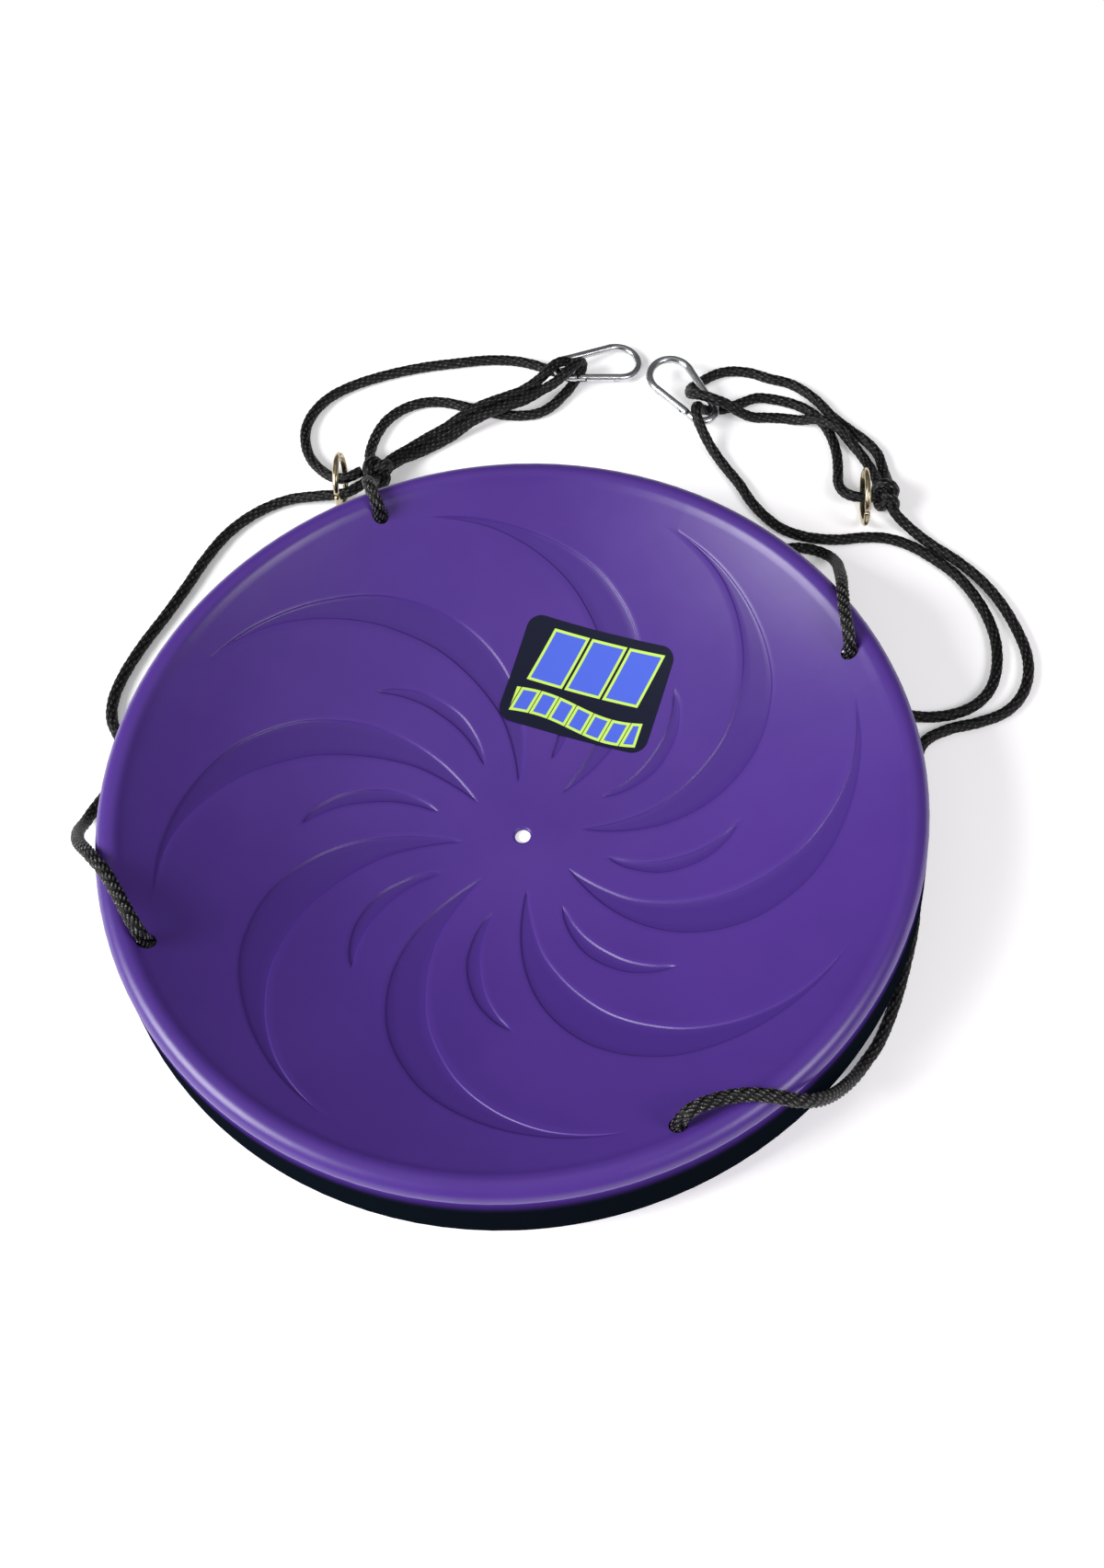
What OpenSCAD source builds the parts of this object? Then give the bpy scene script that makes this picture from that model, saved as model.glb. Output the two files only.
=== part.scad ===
// Saucer swing: a moulded disc seat on four ropes, laid flat on the ground with its ropes, adjuster rings and
// snap hooks spread behind it. Millimetres, +Z up, origin on the ground under the middle of the seat.

/* [Seat] */
// Outer radius of the rolled rim
rim_r = 305; // [300:1:312]
// Height of the rim above the ground when the seat rests on its belly
seat_h = 87; // [80:1:95]
// Thickness of the moulded wall
wall = 4; // [3:0.5:5]
// Radius of the flat at the middle of the tray
flat_r = 25; // [15:1:40]
// Radius of the tray's curve from the flat to the rim
tray_arc_r = 470; // [460:5:490]
// Radius of the rolled bead along the rim
bead_r = 11; // [9:1:12]
// Depth of the skirt, from the rim's top to its lower edge
skirt_depth = 62; // [50:1:70]
// How far the skirt leans out at its lower edge
skirt_draft = 4; // [0:0.5:8]
// Diameter of the drain hole in the middle
drain_d = 12; // [8:0.5:16]
// Distance of the rope holes from the middle
rope_hole_pcd_r = 280; // [278:1:282]
// Diameter of each rope hole
rope_hole_d = 13; // [12:0.5:14]
// Direction of the first rope hole, anticlockwise from +X
rope_hole_angle = 25; // [20:1:30]

/* [Label] */
// Length of the plain label stuck to the tray
label_l = 124; // [100:1:130]
// Width of the label
label_w = 90; // [70:1:95]
// Corner radius of the label
label_corner_r = 12; // [4:1:20]
// Thickness of the label
label_t = 0.4; // [0.3:0.1:0.8]

/* [Ropes] */
// Diameter of the rope
rope_d = 9.5; // [8:0.5:9.5]
// Sides of each rope's tube
rope_sides = 10; // [8:1:12]
// Radius of the stopper knot under each rope hole
stopper_r = 12; // [10:0.5:13]
// Radius of the knot beside each adjuster ring
adjuster_knot_r = 16; // [14:0.5:16]

/* [Adjuster rings] */
// Outer diameter of the ring
ring_d = 50; // [46:1:50]
// Diameter of the ring's wire
ring_wire_d = 5; // [4:0.5:5]

/* [Snap hooks] */
// Diameter of the hook's wire
hook_wire_d = 7; // [6:0.5:7]
// Outer radius of the narrow end, where the ropes pass
hook_eye_r = 15; // [15:0.5:16]
// Outer radius of the wide end
hook_bow_r = 22.5; // [21:0.5:23]
// Overall length of the hook
hook_l = 84; // [82:1:86]
// Diameter of the gate's rivet
rivet_d = 2; // [1.5:0.1:2.5]

/* [Hidden] */
$fn = 64;

purple = [0.27, 0.13, 0.52];
rope_black = [0.06, 0.06, 0.07];
zinc = [0.72, 0.73, 0.75];
nickel = [0.62, 0.57, 0.45];
label_black = [0.05, 0.06, 0.12];

// ---- seat ----

bead_centre = [rim_r - bead_r, seat_h - bead_r];
skirt_z = seat_h - skirt_depth;
tray_end_r = bead_centre[0] - 0.75 * bead_r;
rim_start_r = 215;

// Height of the tray's top surface, lifted by t, at distance r from the middle
function tray_z(r, t = 0) =
    r <= flat_r ? wall + t : wall + tray_arc_r - sqrt(pow(tray_arc_r - t, 2) - pow(r - flat_r, 2));

// Points along the tray from r_start to r_end, lifted by t
function tray_points(r_start, r_end, t, steps) =
    [for (i = [0:steps]) let (r = r_start + (r_end - r_start) * i / steps) [r, tray_z(r, t)]];

// Points around the rim's bead, from the tray side over the top to the skirt
function bead_points(r, from, steps) =
    [for (i = [0:steps]) let (a = from * (1 - i / steps)) bead_centre + r * [cos(a), sin(a)]];

module closed_profile(top, under) {
    polygon(concat(top, [for (i = [len(under) - 1:-1:0]) under[i]]));
}

module tray_profile() {
    closed_profile(
        concat([[0, wall]], tray_points(flat_r, rim_start_r, 0, 18)),
        concat([[0, 0]], tray_points(flat_r, rim_start_r, -wall, 18))
    );
}

module rim_profile() {
    closed_profile(
        concat(tray_points(rim_start_r, tray_end_r, 0, 8), bead_points(bead_r, 137, 16)),
        concat(tray_points(rim_start_r, bead_centre[0] - 6, -wall, 8), bead_points(bead_r - wall, 146, 12))
    );
}

module skirt_profile() {
    foot_r = rim_r + skirt_draft;
    polygon([[rim_r, bead_centre[1]], [foot_r, skirt_z], [foot_r - wall, skirt_z], [rim_r - wall, bead_centre[1]]]);
}

module rope_holes() {
    for (i = [0:3])
        rotate(rope_hole_angle + 90 * i)
            translate([rope_hole_pcd_r, 0, skirt_z])
                cylinder(d = rope_hole_d, h = seat_h);
}

module seat_disc() {
    color(purple)
        difference() {
            rotate_extrude($fn = 180) tray_profile();
            translate([0, 0, -1]) cylinder(d = drain_d, h = wall + 2);
        }
}

// The outer part of the tray with its rolled bead, in a front and a back half, and the plain band that hangs from it.
// They are nodes of their own so that the hollows above and below the seat stay open.
module rim_half(turn) {
    color(purple)
        difference() {
            rotate(turn) rotate_extrude(angle = 180, $fn = 180) rim_profile();
            rope_holes();
        }
}

module seat_rim_front() {
    rim_half(180);
}

module seat_rim_back() {
    rim_half(0);
}

module seat_skirt() {
    color(purple)
        rotate_extrude($fn = 180) skirt_profile();
}

// ---- label ----

label_centre = [48, 127];
label_turn = -18;

module label_outline() {
    translate(label_centre)
        rotate(label_turn)
            for (x = [-1, 1], y = [-1, 1]) {
                translate([x * (label_l / 2 - label_corner_r), y * (label_w / 2 - label_corner_r)])
                    circle(r = label_corner_r);
            }
    translate(label_centre)
        rotate(label_turn) {
            square([label_l, label_w - 2 * label_corner_r], center = true);
            square([label_l - 2 * label_corner_r, label_w], center = true);
        }
}

module label() {
    lower = tray_points(flat_r, tray_end_r, 0, 24);
    upper = tray_points(flat_r, tray_end_r, label_t, 24);
    color(label_black)
        intersection() {
            rotate_extrude($fn = 180)
                polygon(concat(lower, [for (i = [24:-1:0]) upper[i]]));
            linear_extrude(seat_h) label_outline();
        }
}

// ---- ropes ----

// Each rope starts in its stopper knot under the seat, goes up through its hole and over the rim, along the ground to
// the adjuster ring and the snap hook, round the hook's wire and back to the knot beside the ring.
rope_front_left_route = [
    [-254, -118, 54], [-254, -118, 66], [-254, -118, 78], [-256, -116, 88], [-261, -109, 94], [-268, -98, 95],
    [-277, -84, 94], [-287, -70, 93], [-296, -60, 91], [-304, -51, 85], [-314, -40, 73], [-323, -28, 58],
    [-331, -14, 40], [-336, -2, 25], [-338, 10, 12], [-336, 24, 5], [-326, 44, 5], [-320, 66, 5], [-325, 88, 5],
    [-334, 106, 5], [-336, 126, 5], [-331, 150, 5], [-320, 178, 5], [-306, 206, 5], [-292, 236, 5], [-280, 264, 5],
    [-264, 292, 5], [-242, 314, 5], [-216, 327, 6], [-190, 328, 10], [-167, 328, 13], [-151, 336, 15],
    [-138, 349, 15], [-128, 366, 12], [-113, 384, 6], [-98, 397, 5], [-83, 407, 6], [-67, 417, 11], [-50, 425, 15],
    [-33, 433, 15], [-16, 440, 16], [-2, 448, 20], [7, 455, 24], [13, 462, 25], [19, 467, 24], [25, 470, 21],
    [28, 470, 15], [25, 471, 8], [18, 471, 5], [6, 475, 5], [-7, 481, 5], [-26, 486, 5], [-50, 487, 5], [-76, 484, 5],
    [-108, 479, 5], [-138, 471, 5], [-166, 460, 5], [-188, 446, 5], [-202, 428, 5], [-208, 408, 5], [-206, 388, 5],
    [-199, 371, 6], [-188, 356, 10], [-177, 345, 15], [-165, 341, 18], [-151, 348, 19]
];
rope_back_left_route = [
    [-118, 254, 54], [-118, 254, 66], [-118, 254, 78], [-119, 256, 88], [-122, 262, 94], [-126, 271, 94],
    [-129, 281, 87], [-132, 291, 75], [-135, 304, 57], [-138, 318, 39], [-139, 331, 25], [-139, 342, 17],
    [-142, 355, 15], [-147, 369, 10], [-148, 384, 5], [-144, 401, 5], [-136, 417, 5], [-122, 430, 5], [-104, 437, 5],
    [-86, 437, 5], [-68, 432, 5], [-50, 427, 5], [-32, 422, 5], [-14, 421, 5], [0, 424, 5], [11, 432, 5],
    [19, 442, 5], [26, 452, 5], [31, 462, 5], [36, 469, 8], [38, 472, 15], [36, 469, 22], [31, 462, 25],
    [24, 453, 25], [14, 444, 22], [1, 438, 18], [-12, 430, 16], [-27, 424, 15], [-44, 416, 15], [-61, 408, 11],
    [-76, 398, 6], [-91, 388, 5], [-106, 378, 6], [-119, 367, 11], [-129, 355, 15]
];
rope_front_right_route = [
    [118, -254, 54], [118, -254, 66], [118, -254, 78], [120, -253, 88], [126, -249, 94], [136, -244, 94],
    [149, -240, 93], [164, -238, 93], [180, -239, 93], [195, -241, 90], [209, -238, 79], [220, -230, 62],
    [229, -220, 44], [237, -210, 29], [245, -199, 16], [253, -187, 7], [263, -173, 5], [272, -155, 5], [280, -135, 5],
    [288, -110, 5], [296, -80, 5], [301, -45, 5], [303, -10, 5], [304, 25, 5], [308, 55, 5], [317, 79, 5],
    [338, 91, 5], [362, 97, 5], [384, 106, 5], [399, 121, 5], [407, 141, 5], [408, 163, 5], [402, 188, 5],
    [392, 213, 5], [378, 236, 5], [360, 256, 5], [339, 274, 5], [322, 290, 7], [309, 304, 12], [305, 319, 15],
    [306, 333, 13], [305, 346, 7], [303, 359, 5], [300, 373, 5], [291, 387, 5], [277, 401, 5], [262, 417, 5],
    [251, 433, 5], [239, 446, 5], [225, 456, 5], [207, 462, 5], [190, 469, 5], [173, 471, 5], [160, 468, 5],
    [150, 462, 5], [142, 456, 5], [136, 449, 7], [135, 441, 11], [136, 434, 17], [142, 428, 23], [149, 424, 25],
    [158, 420, 25], [168, 417, 22], [179, 415, 14], [191, 415, 7], [204, 416, 5], [218, 415, 5], [232, 411, 7],
    [245, 407, 13], [256, 402, 15], [267, 394, 14], [276, 385, 8], [284, 375, 5], [290, 363, 5], [294, 349, 9],
    [296, 335, 14], [295, 325, 16]
];
rope_back_right_route = [
    [254, 118, 54], [254, 118, 66], [254, 118, 78], [253, 121, 88], [252, 127, 94], [251, 136, 95], [250, 147, 95],
    [250, 158, 94], [250, 169, 91], [251, 182, 83], [252, 197, 70], [253, 214, 54], [254, 230, 38], [254, 245, 22],
    [252, 258, 10], [244, 267, 5], [232, 271, 5], [218, 271, 5], [205, 265, 5], [197, 253, 5], [197, 239, 5],
    [204, 225, 5], [216, 210, 5], [231, 190, 5], [247, 168, 5], [264, 145, 5], [280, 123, 5], [295, 109, 5],
    [315, 103, 5], [338, 104, 5], [359, 112, 5], [374, 127, 5], [382, 148, 5], [384, 173, 5], [380, 197, 5],
    [371, 220, 5], [358, 241, 5], [341, 258, 5], [321, 273, 5], [301, 281, 5], [281, 282, 5], [262, 280, 5],
    [244, 281, 5], [227, 285, 5], [211, 293, 5], [197, 307, 5], [186, 323, 5], [177, 341, 5], [164, 362, 5],
    [154, 379, 7], [147, 390, 14], [142, 399, 21], [140, 406, 24], [140, 412, 24], [142, 417, 20], [144, 421, 13],
    [148, 424, 7], [155, 425, 5], [167, 427, 5], [181, 433, 5], [196, 439, 5], [215, 436, 5], [233, 429, 5],
    [246, 419, 5], [255, 406, 5], [261, 390, 5], [264, 372, 5], [264, 355, 5], [263, 340, 8], [266, 327, 12],
    [274, 319, 15], [284, 317, 16], [293, 317, 16]
];

// Point at fraction t of the smooth curve from b to c, with neighbours a and d (Catmull-Rom)
function smooth(a, b, c, d, t) =
    0.5 * (2 * b + (c - a) * t + (2 * a - 5 * b + 4 * c - d) * t * t + (3 * b - a - 3 * c + d) * t * t * t);

// The route with extra points put on its smooth curve wherever neighbours are further apart than gap
function smooth_route(p, gap) = [
    for (i = [0:len(p) - 2])
        let (n = ceil(norm(p[i + 1] - p[i]) / gap))
            for (k = [0:n - 1])
                smooth(p[max(i - 1, 0)], p[i], p[i + 1], p[min(i + 2, len(p) - 1)], k / n),
    p[len(p) - 1]
];

function unit(v) = v / norm(v);

// Direction of the route at point i
function heading(p, i) = unit(p[min(i + 1, len(p) - 1)] - p[max(i - 1, 0)]);

// Side vectors along the route, each turned as little as possible from the one before
function side_vectors(p, i = 0, last = [1, 0, 0], found = []) =
    i == len(p) ? found
    : let (h = heading(p, i), s = unit(last - (last * h) * h))
        side_vectors(p, i + 1, s, concat(found, [s]));

module rope_tube(route) {
    p = smooth_route(route, 26);
    sides = side_vectors(p);
    rings = [for (i = [0:len(p) - 1])
        let (h = heading(p, i), s = sides[i], w = cross(h, s))
            for (k = [0:rope_sides - 1])
                let (a = 360 * k / rope_sides) p[i] + rope_d / 2 * (cos(a) * s + sin(a) * w)];
    walls = [for (i = [0:len(p) - 2], k = [0:rope_sides - 1])
        let (a = i * rope_sides, b = a + rope_sides, m = (k + 1) % rope_sides)
            for (t = [[a + k, b + m, b + k], [a + k, a + m, b + m]]) t];
    first = [for (k = [0:rope_sides - 1]) rope_sides - 1 - k];
    last = [for (k = [0:rope_sides - 1]) (len(p) - 1) * rope_sides + k];
    color(rope_black)
        polyhedron(
            points = rings,
            faces = [for (f = concat([first], walls, [last])) [f[0], for (j = [len(f) - 1:-1:1]) f[j]]]
        );
}

module rope_front_left() { rope_tube(rope_front_left_route); }
module rope_front_right() { rope_tube(rope_front_right_route); }
module rope_back_left() { rope_tube(rope_back_left_route); }
module rope_back_right() { rope_tube(rope_back_right_route); }

module stopper_knot(route) {
    color(rope_black)
        translate(route[0]) sphere(r = stopper_r);
}

module stopper_knot_front_left() { stopper_knot(rope_front_left_route); }
module stopper_knot_front_right() { stopper_knot(rope_front_right_route); }
module stopper_knot_back_left() { stopper_knot(rope_back_left_route); }
module stopper_knot_back_right() { stopper_knot(rope_back_right_route); }

// ---- adjuster rings and their knots ----

ring_lift = 0.3;
ring_left_at = [-167, 332, ring_d / 2 + ring_lift];
ring_right_at = [283, 310, ring_d / 2 + ring_lift];

module adjuster_ring(at) {
    color(nickel)
        translate(at)
            rotate([0, 90, 0])
                rotate_extrude()
                    translate([(ring_d - ring_wire_d) / 2, 0]) circle(d = ring_wire_d);
}

module adjuster_ring_left() { adjuster_ring(ring_left_at); }
module adjuster_ring_right() { adjuster_ring(ring_right_at); }

module adjuster_knot(at) {
    color(rope_black)
        translate([at[0], at[1], adjuster_knot_r]) sphere(r = adjuster_knot_r);
}

module adjuster_knot_left() { adjuster_knot([-138, 349]); }
module adjuster_knot_right() { adjuster_knot([302, 318]); }

// ---- snap hooks ----

// A hook is drawn with the middle of its narrow end at the origin, its wide end along +X and its gate on the -Y side.
hook_gap = hook_l - hook_eye_r - hook_bow_r;
eye_arc_r = hook_eye_r - hook_wire_d / 2;
bow_arc_r = hook_bow_r - hook_wire_d / 2;
side_angle = asin((bow_arc_r - eye_arc_r) / hook_gap);
side_l = hook_gap * cos(side_angle);

// Places along the gate's side, from where the narrow end's arc stops
stub_end = 5;
pivot_at = 9.5;
tang_end = 13;
hinge_slot_end = 14.5;
bore_end = 26;
gate_slot_start = 39.5;
tongue_start = 40;
gate_end = 44;
nose_start = 44.4;

tang_t = 2.4;
slot_w = 3;
plunger_d = 3;
bore_d = 3.2;
stem_d = 1.4;
spring_d = 2.9;
spring_wire_d = 0.5;
spring_turns = 9;
bend_swell = 0.25;
collar_l = 2.4;

// Turns a child drawn along +X, with the hook's inside towards +Y, onto the gate's side
module on_gate_side() {
    rotate(-side_angle)
        translate([0, -eye_arc_r, 0]) children();
}

module rod(from, to, d) {
    translate([from, 0, 0]) rotate([0, 90, 0]) cylinder(d = d, h = to - from);
}

module wire_arc(r, from, to) {
    rotate(from)
        rotate_extrude(angle = to - from)
            translate([r, 0]) circle(d = hook_wire_d);
}

// The slightly fuller band where a bend of the wire runs into a straight stretch
module bend_end(at) {
    translate([at - collar_l / 2, 0, 0])
        rotate([0, 90, 0])
            cylinder(d = hook_wire_d + bend_swell, h = collar_l);
}

module hook_body() {
    color(zinc)
        difference() {
            union() {
                wire_arc(eye_arc_r, 90 + side_angle, 270 - side_angle);
                translate([hook_gap, 0, 0]) wire_arc(bow_arc_r, -90 - side_angle, 90 + side_angle);
                mirror([0, 1, 0]) on_gate_side() {
                    rod(0, side_l, hook_wire_d);
                    bend_end(0);
                    bend_end(side_l);
                }
                on_gate_side() {
                    rod(0, stub_end, hook_wire_d);
                    bend_end(0);
                    rod(nose_start, side_l, hook_wire_d);
                    intersection() {
                        rod(stub_end - 1, tang_end, hook_wire_d - 1.4);
                        translate([0, -hook_wire_d, -tang_t / 2]) cube([side_l, 2 * hook_wire_d, tang_t]);
                    }
                    intersection() {
                        rod(tongue_start, nose_start + 1, hook_wire_d - 0.4);
                        translate([0, -hook_wire_d, -tang_t / 2])
                            cube([side_l, hook_wire_d + 1.2, tang_t]);
                    }
                }
            }
            on_gate_side()
                translate([pivot_at, 0, -hook_wire_d]) cylinder(d = rivet_d + 0.1, h = 2 * hook_wire_d);
        }
}

module hook_gate() {
    color(zinc)
        on_gate_side()
            difference() {
                union() {
                    translate([pivot_at, 0, 0]) sphere(d = hook_wire_d);
                    rod(pivot_at, gate_end, hook_wire_d);
                }
                translate([0, -hook_wire_d, -slot_w / 2]) cube([hinge_slot_end, 2 * hook_wire_d, slot_w]);
                translate([gate_slot_start, -hook_wire_d, -slot_w / 2])
                    cube([hook_wire_d, hook_wire_d + 1.5, slot_w]);
                rod(hinge_slot_end - 1, bore_end, bore_d);
                translate([pivot_at, 0, -hook_wire_d]) cylinder(d = rivet_d, h = 2 * hook_wire_d);
            }
}

module gate_rivet() {
    color(zinc)
        on_gate_side()
            translate([pivot_at, 0, -hook_wire_d / 2 + 0.15]) cylinder(d = rivet_d, h = hook_wire_d - 0.3);
}

plunger_tip = tang_end + 0.3;
plunger_shoulder = 17;
stem_end = 22;
spring_start = 18;

module gate_plunger() {
    color(zinc)
        on_gate_side() {
            rod(plunger_tip, plunger_shoulder, plunger_d - 0.1);
            rod(plunger_shoulder, stem_end, stem_d);
        }
}

spring_steps = 8;
spring_sides = 6;

module gate_spring() {
    coil_r = (spring_d - spring_wire_d) / 2;
    n = spring_turns * spring_steps;
    length = bore_end - 0.3 - spring_start - spring_wire_d;
    centre = [for (i = [0:n]) let (a = 360 * i / spring_steps)
        [spring_start + spring_wire_d / 2 + length * i / n, coil_r * cos(a), coil_r * sin(a)]];
    rings = [for (i = [0:n], k = [0:spring_sides - 1])
        let (a = 360 * i / spring_steps, b = 360 * k / spring_sides)
            centre[i] + spring_wire_d / 2 * [sin(b), cos(b) * cos(a), cos(b) * sin(a)]];
    walls = [for (i = [0:n - 1], k = [0:spring_sides - 1])
        let (a = i * spring_sides, b = a + spring_sides, m = (k + 1) % spring_sides)
            for (t = [[a + k, b + m, b + k], [a + k, a + m, b + m]]) t];
    first = [for (k = [0:spring_sides - 1]) spring_sides - 1 - k];
    last = [for (k = [0:spring_sides - 1]) n * spring_sides + k];
    color(zinc)
        on_gate_side() polyhedron(points = rings, faces = concat([first], walls, [last]));
}

// Where each hook lies: the middle of its narrow end, its direction and how far it leans down to its wide end
hook_left_at = [26, 468, 14];
hook_left_turn = 17;
hook_left_lean = 9;
hook_right_at = [146, 417, 14];
hook_right_turn = 127;
hook_right_lean = -5;

module at_left_hook() {
    translate(hook_left_at) rotate([0, hook_left_lean, hook_left_turn]) children();
}

// The right hook lies on its other face, and a hook is the same on both faces, so it is drawn mirrored
module at_right_hook() {
    translate(hook_right_at) rotate([0, hook_right_lean, hook_right_turn]) mirror([0, 1, 0]) children();
}

module hook_body_left() { at_left_hook() hook_body(); }
module hook_body_right() { at_right_hook() hook_body(); }
module hook_gate_left() { at_left_hook() hook_gate(); }
module hook_gate_right() { at_right_hook() hook_gate(); }
module gate_rivet_left() { at_left_hook() gate_rivet(); }
module gate_rivet_right() { at_right_hook() gate_rivet(); }
module gate_plunger_left() { at_left_hook() gate_plunger(); }
module gate_plunger_right() { at_right_hook() gate_plunger(); }
module gate_spring_left() { at_left_hook() gate_spring(); }
module gate_spring_right() { at_right_hook() gate_spring(); }

seat_disc();
seat_rim_front();
seat_rim_back();
seat_skirt();
label();
rope_front_left();
rope_front_right();
rope_back_left();
rope_back_right();
stopper_knot_front_left();
stopper_knot_front_right();
stopper_knot_back_left();
stopper_knot_back_right();
adjuster_ring_left();
adjuster_ring_right();
adjuster_knot_left();
adjuster_knot_right();
hook_body_left();
hook_body_right();
hook_gate_left();
hook_gate_right();
gate_rivet_left();
gate_rivet_right();
gate_plunger_left();
gate_plunger_right();
gate_spring_left();
gate_spring_right();
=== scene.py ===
"""Saucer swing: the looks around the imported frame.

Lights and camera are in metres.
"""

import math

import bpy
import numpy as np
from mathutils import Matrix, Vector


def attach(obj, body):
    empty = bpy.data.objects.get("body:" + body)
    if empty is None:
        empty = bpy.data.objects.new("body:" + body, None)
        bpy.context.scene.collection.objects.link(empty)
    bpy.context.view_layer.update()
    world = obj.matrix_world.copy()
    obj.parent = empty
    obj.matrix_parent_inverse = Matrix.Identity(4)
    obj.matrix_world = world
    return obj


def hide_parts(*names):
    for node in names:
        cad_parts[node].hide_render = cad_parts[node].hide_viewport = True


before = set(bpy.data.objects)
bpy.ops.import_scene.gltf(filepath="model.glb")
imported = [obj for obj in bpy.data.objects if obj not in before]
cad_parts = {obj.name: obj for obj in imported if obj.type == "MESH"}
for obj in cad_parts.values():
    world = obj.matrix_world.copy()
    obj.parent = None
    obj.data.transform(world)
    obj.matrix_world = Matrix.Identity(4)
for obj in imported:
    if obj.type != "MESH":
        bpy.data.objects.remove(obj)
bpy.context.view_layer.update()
MM = 0.001

# ---- camera ----


def make_camera():
    data = bpy.data.cameras.new("camera")
    data.sensor_width = 36
    data.lens = 38.84
    data.shift_x = -0.0772
    data.shift_y = -0.0209
    camera = bpy.data.objects.new("camera", data)
    bpy.context.scene.collection.objects.link(camera)
    back = Vector((0.0, -0.4947, 0.869)).normalized()
    right = Vector((1.0, -0.0077, -0.0044))
    up = back.cross(right).normalized()
    right = up.cross(back)
    turn = Matrix((right, up, back)).transposed().to_4x4()
    camera.matrix_world = Matrix.Translation((0.1171, -0.5926, 1.1744)) @ turn
    bpy.context.scene.camera = camera


make_camera()

# ---- material helpers ----


class Finish:
    """A material built from nodes. Its shader is .bsdf."""

    def __init__(self, name, **sockets):
        self.material = bpy.data.materials.new(name)
        self.material.use_nodes = True
        self.tree = self.material.node_tree
        self.bsdf = self.tree.nodes["Principled BSDF"]
        self.set(**sockets)

    def put(self, target, value):
        if isinstance(value, bpy.types.NodeSocket):
            self.tree.links.new(value, target)
        else:
            target.default_value = value

    def node(self, kind, inputs=(), out=0, **props):
        n = self.tree.nodes.new("ShaderNode" + kind)
        for key, value in props.items():
            setattr(n, key, value)
        for key, value in dict(inputs).items():
            self.put(n.inputs[key], value)
        return n.outputs[out]

    def math(self, operation, a, b=0.0, c=0.0):
        return self.node("Math", {0: a, 1: b, 2: c}, operation=operation)

    def step(self, value, low, high):
        """0 below low, 1 above high, smooth between."""
        return self.node(
            "MapRange",
            {"Value": value, "From Min": low, "From Max": high},
            interpolation_type="SMOOTHSTEP",
        )

    def blend(self, share, a, b):
        n = self.tree.nodes.new("ShaderNodeMix")
        n.data_type = "RGBA"
        for key, value in ((0, share), (6, a), (7, b)):
            self.put(n.inputs[key], value)
        return n.outputs[2]

    def noise(self, scale, vector, detail=3.0, rough=0.5):
        return self.node(
            "TexNoise",
            {"Vector": vector, "Scale": scale, "Detail": detail, "Roughness": rough},
        )

    def bump(self, height, strength, distance):
        return self.node("Bump", {"Height": height, "Strength": strength, "Distance": distance})

    def attribute(self, name, out=2):
        """A mesh attribute, read as a number, or as a vector with out=1."""
        return self.node("Attribute", out=out, attribute_name=name)

    def split(self, vector):
        """The three parts of a vector."""
        n = self.tree.nodes.new("ShaderNodeSeparateXYZ")
        self.put(n.inputs[0], vector)
        return n.outputs

    def place(self):
        """Where a point lies on the object."""
        return self.node("TexCoord", out=3)

    def set(self, **sockets):
        for socket, value in sockets.items():
            self.put(self.bsdf.inputs[socket.replace("_", " ")], value)


# ---- mesh helpers ----


def add_mesh(name, points, faces, finish, smooth=True):
    mesh = bpy.data.meshes.new(name)
    mesh.from_pydata(np.asarray(points, float).tolist(), [], [tuple(f) for f in faces])
    mesh.update()
    if smooth:
        mesh.polygons.foreach_set("use_smooth", [True] * len(mesh.polygons))
    piece = bpy.data.objects.new(name, mesh)
    bpy.context.scene.collection.objects.link(piece)
    mesh.materials.append(finish.material)
    return piece


def set_attribute(piece, name, kind, values):
    attribute = piece.data.attributes.new(name, kind, "POINT")
    key = "value" if kind == "FLOAT" else "vector"
    attribute.data.foreach_set(key, np.asarray(values, np.float32).ravel())


def tube_faces(rows, cols, closed=False):
    """Faces of a tube of rows rings with cols points each, which meets itself or has capped ends."""
    i, j = np.meshgrid(np.arange(rows if closed else rows - 1), np.arange(cols), indexing="ij")
    n, m = (i + 1) % rows, (j + 1) % cols
    quads = np.stack([i * cols + j, i * cols + m, n * cols + m, n * cols + j], -1)
    faces = [tuple(q) for q in quads.reshape(-1, 4).tolist()]
    if not closed:
        faces.append(tuple(range(cols - 1, -1, -1)))
        faces.append(tuple(range((rows - 1) * cols, rows * cols)))
    return faces


def resample(line, gap):
    """The line with its points put evenly, about gap apart."""
    along = np.concatenate([[0], np.cumsum(np.linalg.norm(np.diff(line, axis=0), axis=1))])
    want = np.linspace(0, along[-1], max(2, int(round(along[-1] / gap)) + 1))
    return np.stack([np.interp(want, along, line[:, k]) for k in range(3)], 1), want


def smooth_line(points, gap):
    """A Catmull-Rom curve through the points, resampled gap apart."""
    p = np.asarray(points, float)
    q = np.concatenate([p[:1], p, p[-1:]])
    a, b, c, d = (q[k : len(q) - 3 + k, None] for k in range(4))
    t = np.linspace(0, 1, 24, endpoint=False)[None, :, None]
    curve = 0.5 * (
        2 * b + (c - a) * t + (2 * a - 5 * b + 4 * c - d) * t**2 + (3 * b - a - 3 * c + d) * t**3
    )
    return resample(np.concatenate([curve.reshape(-1, 3), p[-1:]]), gap)


def rings_round(line, r, angle, sides, ups):
    """A ring of points round each point of the line, at the distances r and the angles given."""
    return line[:, None] + r[..., None] * (
        np.cos(angle)[None, :, None] * sides[:, None] + np.sin(angle)[None, :, None] * ups[:, None]
    )


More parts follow.
